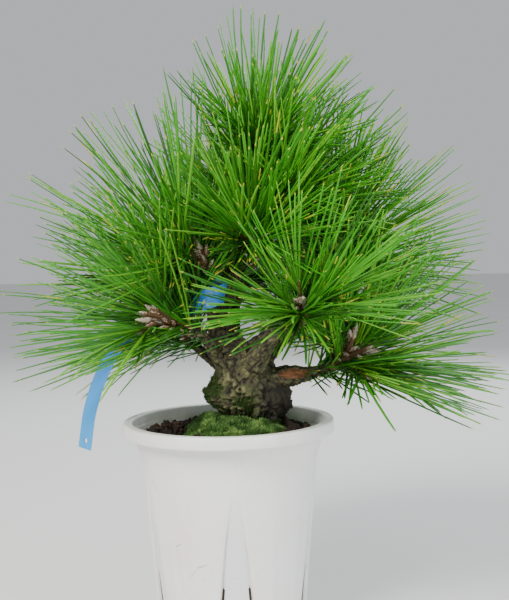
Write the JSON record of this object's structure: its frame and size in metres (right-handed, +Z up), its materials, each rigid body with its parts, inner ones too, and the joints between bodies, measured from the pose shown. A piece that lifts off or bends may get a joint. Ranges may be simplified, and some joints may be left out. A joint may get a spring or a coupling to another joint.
{
  "type": "potted bonsai pine",
  "caption": "Bonsai pine with a stout corky trunk, spreading boughs and tufts of long needles, in a tapered round nursery pot with soil, moss and a looped label strap.",
  "frame": {"origin": "middle of the pot's flat underside, on the surface it stands on", "axes": "+Z up along the pot's axis, +X to the viewer's right, -Y towards the viewer"},
  "size_m": [0.3188, 0.2898, 0.3927],
  "materials": {
    "white_plastic": "satin, lightly scuffed",
    "dark_soil": "crumbly and damp",
    "green_moss": "soft and matte",
    "corky_bark": "rough corky bark",
    "pine_green": "needles with a faint sheen",
    "blue_plastic": "thin flexible band"
  },
  "bodies": {
    "root": {"pot": "white_plastic", "soil": "dark_soil", "moss": "green_moss", "trunk": "corky_bark", "bough_left_low": "corky_bark", "bough_left_high": "corky_bark", "bough_front": "corky_bark", "bough_right_low": "corky_bark", "bough_right_high": "corky_bark", "bough_back_left": "corky_bark", "bough_back": "corky_bark", "bough_back_right": "corky_bark", "bough_back_low": "corky_bark", "label_strap": "blue_plastic", "needles_top": "pine_green", "needles_leader_right": "pine_green", "needles_leader_front": "pine_green", "needles_leader_back": "pine_green", "needles_left_high": "pine_green", "needles_left_low": "pine_green", "needles_front": "pine_green", "needles_right_low": "pine_green", "needles_right_high": "pine_green", "needles_back_left": "pine_green", "needles_back": "pine_green", "needles_back_right": "pine_green", "needles_back_low": "pine_green"}
  },
  "joints": []
}
